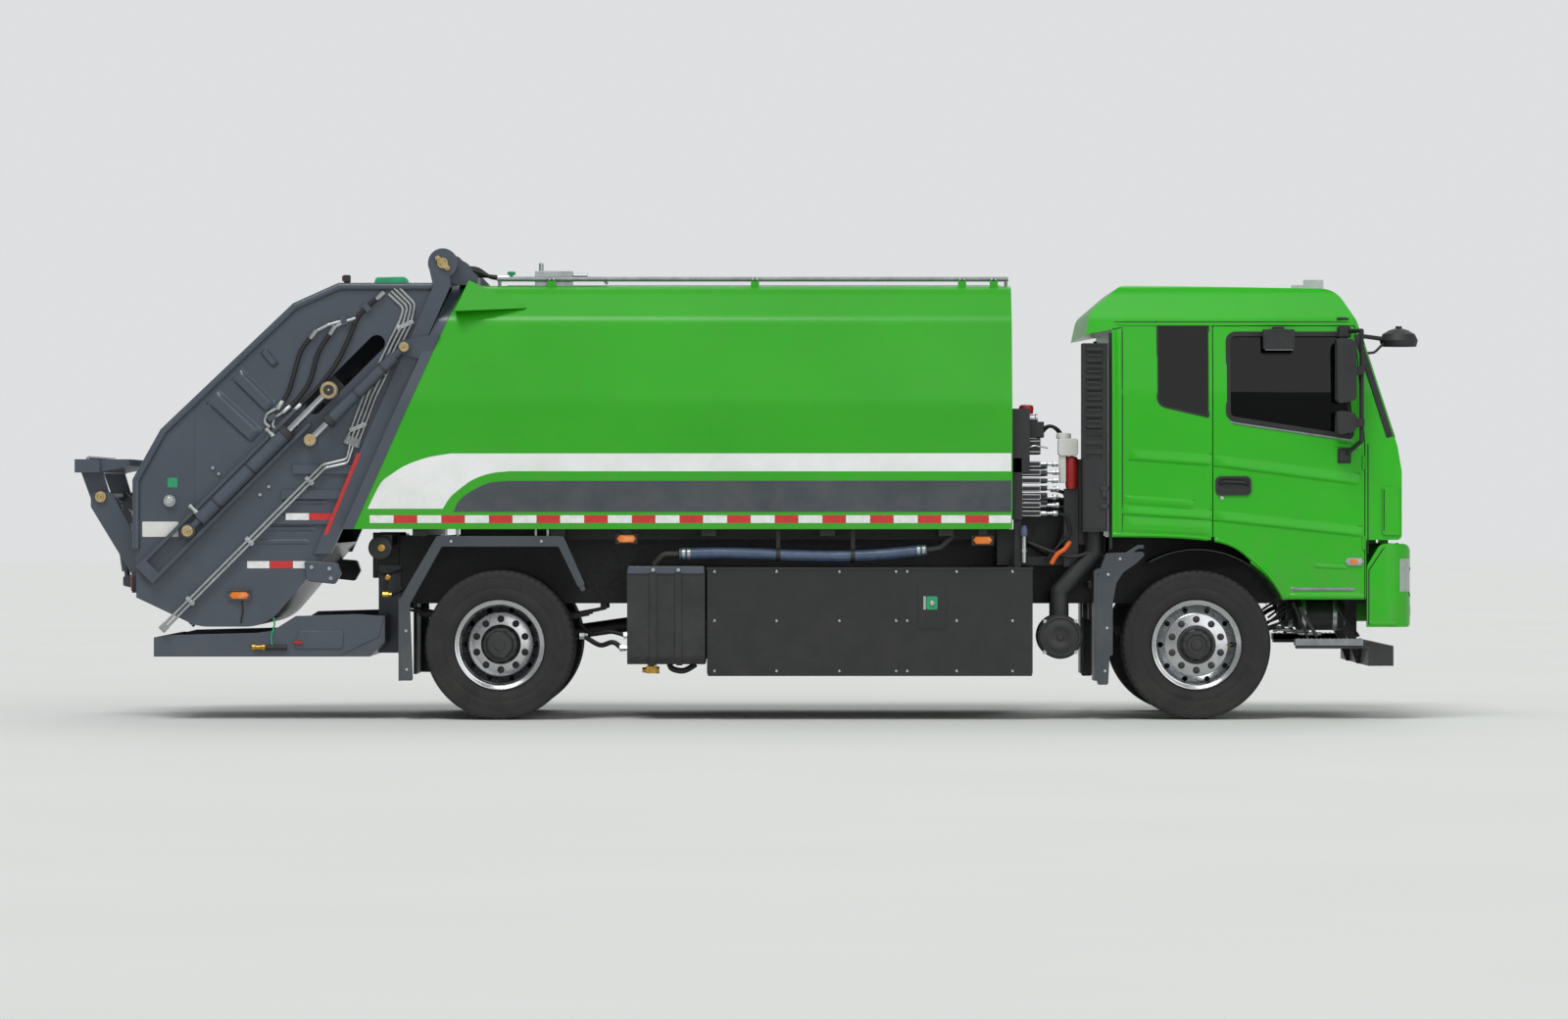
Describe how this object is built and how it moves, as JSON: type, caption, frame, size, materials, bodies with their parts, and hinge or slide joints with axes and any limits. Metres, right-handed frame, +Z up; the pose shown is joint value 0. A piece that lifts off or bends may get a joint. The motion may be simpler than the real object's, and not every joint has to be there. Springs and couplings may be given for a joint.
{
  "type": "refuse collection truck",
  "caption": "Rear-loading refuse truck with a tilting cab, a closed body with an ejector plate, and a tailgate hopper with a packer and a bin lift.",
  "frame": {"origin": "on the ground, midway along and across the truck", "axes": "+X to the truck's front, +Y to its left, +Z up"},
  "size_m": [9.1, 2.95, 3.182],
  "materials": {
    "chassis_black": "satin",
    "body_green": "gloss",
    "cab_green": "gloss",
    "slate_grey": "satin",
    "steel_grey": "satin",
    "rod_chrome": "polished",
    "tyre": "matt",
    "rim": "polished",
    "glass": "clear",
    "black_plastic": "matt",
    "lamp": "clear",
    "seat_fabric": "matt",
    "galvanised": "satin"
  },
  "bodies": {
    "chassis": {"frame_rails": "chassis_black", "subframe": "chassis_black", "drive_motor": "chassis_black", "front_axle": "chassis_black", "rear_axle": "chassis_black", "leaf_springs": "chassis_black", "battery_boxes": "chassis_black", "hydraulic_tanks": "chassis_black", "mudguards": "slate_grey", "underrun_beam": "chassis_black", "drip_tray": "slate_grey", "air_intake": "black_plastic", "valve_bank": "galvanised", "body_shell": "body_green", "body_rear_frame": "slate_grey", "roof_rails": "galvanised"},
    "ejector": {"ejector_plate": "steel_grey"},
    "cab": {"cab_shell": "cab_green", "cab_glass": "glass", "front_grille": "black_plastic", "bumper": "cab_green", "lamps": "lamp", "front_mirror": "black_plastic", "seats": "seat_fabric", "dashboard": "black_plastic"},
    "tailgate": {"hopper_shell": "slate_grey", "guide_beams": "slate_grey", "slide_barrels": "steel_grey"},
    "packer": {"packer_carriage": "steel_grey", "slide_rods": "rod_chrome"},
    "blade": {"packer_blade": "steel_grey"},
    "blade_barrels": {"blade_barrels": "steel_grey"},
    "blade_rods": {"blade_rods": "rod_chrome"},
    "lift_barrels": {"lift_barrels": "steel_grey"},
    "lift_rods": {"lift_rods": "rod_chrome"},
    "bin_lift": {"bin_lift_frame": "slate_grey"},
    "bin_barrels": {"bin_barrels": "steel_grey"},
    "bin_rods": {"bin_rods": "rod_chrome"},
    "door_right": {"door_panel_right": "cab_green", "door_glass_right": "glass", "mirror_right": "black_plastic"},
    "knuckle_right": {"knuckle_right": "chassis_black"},
    "wheel_front_right": {"tyre_front_right": "tyre", "rim_front_right": "rim"},
    "wheels_rear_right": {"tyres_rear_right": "tyre", "rims_rear_right": "rim"},
    "door_left": {"door_panel_left": "cab_green", "door_glass_left": "glass", "mirror_left": "black_plastic"},
    "knuckle_left": {"knuckle_left": "chassis_black"},
    "wheel_front_left": {"tyre_front_left": "tyre", "rim_front_left": "rim"},
    "wheels_rear_left": {"tyres_rear_left": "tyre", "rims_rear_left": "rim"}
  },
  "joints": [
    {"name": "steer_right", "type": "hinge", "parent": "chassis", "child": "knuckle_right", "pos_m": [3.04, -0.85, 0.506], "axis": [0, 0, 1], "range_deg": [-35, 35]},
    {"name": "wheel_front_right_spin", "type": "hinge", "parent": "knuckle_right", "child": "wheel_front_right", "pos_m": [3.04, -1.02, 0.506], "axis": [0, 1, 0], "continuous": true},
    {"name": "wheels_rear_right_spin", "type": "hinge", "parent": "chassis", "child": "wheels_rear_right", "pos_m": [-1.66, -0.93, 0.506], "axis": [0, 1, 0], "continuous": true},
    {"name": "door_right", "type": "hinge", "parent": "cab", "child": "door_right", "pos_m": [4.16, -1.244, 1.5], "axis": [0, 0, 1], "range_deg": [0, 65]},
    {"name": "steer_left", "type": "hinge", "parent": "chassis", "child": "knuckle_left", "pos_m": [3.04, 0.85, 0.506], "axis": [0, 0, 1], "range_deg": [-35, 35]},
    {"name": "wheel_front_left_spin", "type": "hinge", "parent": "knuckle_left", "child": "wheel_front_left", "pos_m": [3.04, 1.02, 0.506], "axis": [0, 1, 0], "continuous": true},
    {"name": "wheels_rear_left_spin", "type": "hinge", "parent": "chassis", "child": "wheels_rear_left", "pos_m": [-1.66, 0.93, 0.506], "axis": [0, 1, 0], "continuous": true},
    {"name": "door_left", "type": "hinge", "parent": "cab", "child": "door_left", "pos_m": [4.16, 1.244, 1.5], "axis": [0, 0, -1], "range_deg": [0, 65]},
    {"name": "cab_tilt", "type": "hinge", "parent": "chassis", "child": "cab", "pos_m": [4.25, 0, 0.9], "axis": [0, 1, 0], "range_deg": [0, 42]},
    {"name": "tailgate_hinge", "type": "hinge", "parent": "chassis", "child": "tailgate", "pos_m": [-2.046, 0, 3.082], "axis": [0, 1, 0], "range_deg": [0, 65]},
    {"name": "lift_barrel_swing", "type": "hinge", "parent": "chassis", "child": "lift_barrels", "pos_m": [-2.303, 0, 2.515], "axis": [0, 1, 0], "range_deg": [-1, 81.58]},
    {"name": "lift_rod_slide", "type": "slide", "parent": "lift_barrels", "child": "lift_rods", "axis": [-0.711, 0, -0.7032], "range_m": [-0.004, 0.5958]},
    {"name": "packer_slide", "type": "slide", "parent": "tailgate", "child": "packer", "axis": [0.7071, 0, 0.7071], "range_m": [-0.15, 0.45]},
    {"name": "blade_swing", "type": "hinge", "parent": "packer", "child": "blade", "pos_m": [-3.04322, 0, 1.76226], "axis": [0, 1, 0], "range_deg": [0, 80]},
    {"name": "blade_barrel_swing", "type": "hinge", "parent": "packer", "child": "blade_barrels", "pos_m": [-2.65785, 0, 2.35269], "axis": [0, 1, 0], "range_deg": [-1, 10.19]},
    {"name": "blade_rod_slide", "type": "slide", "parent": "blade_barrels", "child": "blade_rods", "axis": [-0.6648, 0, -0.747], "range_m": [-0.2566, 0.004]},
    {"name": "bin_lift_swing", "type": "hinge", "parent": "tailgate", "child": "bin_lift", "pos_m": [-4.382, 0, 1.505], "axis": [0, 1, 0], "range_deg": [-90, 30]},
    {"name": "bin_barrel_swing", "type": "hinge", "parent": "tailgate", "child": "bin_barrels", "pos_m": [-4.224, 0, 0.93], "axis": [0, 1, 0], "range_deg": [-2.32, 4.96]},
    {"name": "bin_rod_slide", "type": "slide", "parent": "bin_barrels", "child": "bin_rods", "axis": [-0.1406, 0, 0.9901], "range_m": [-0.048, 0.1359]},
    {"name": "ejector_slide", "type": "slide", "parent": "chassis", "child": "ejector", "axis": [-1, 0, 0], "range_m": [0, 2.9]}
  ],
  "couplings": [
    {"joint": "steer_left", "follows": "steer_right", "ratio": 1},
    {"joint": "lift_barrel_swing", "follows": "tailgate_hinge", "ratio": 1.2397},
    {"joint": "lift_rod_slide", "follows": "tailgate_hinge", "m_per_rad": 0.52168},
    {"joint": "blade_barrel_swing", "follows": "blade_swing", "ratio": 0.11484},
    {"joint": "blade_rod_slide", "follows": "blade_swing", "m_per_rad": -0.18088},
    {"joint": "bin_barrel_swing", "follows": "bin_lift_swing", "ratio": -0.044},
    {"joint": "bin_rod_slide", "follows": "bin_lift_swing", "m_per_rad": -0.084}
  ]
}
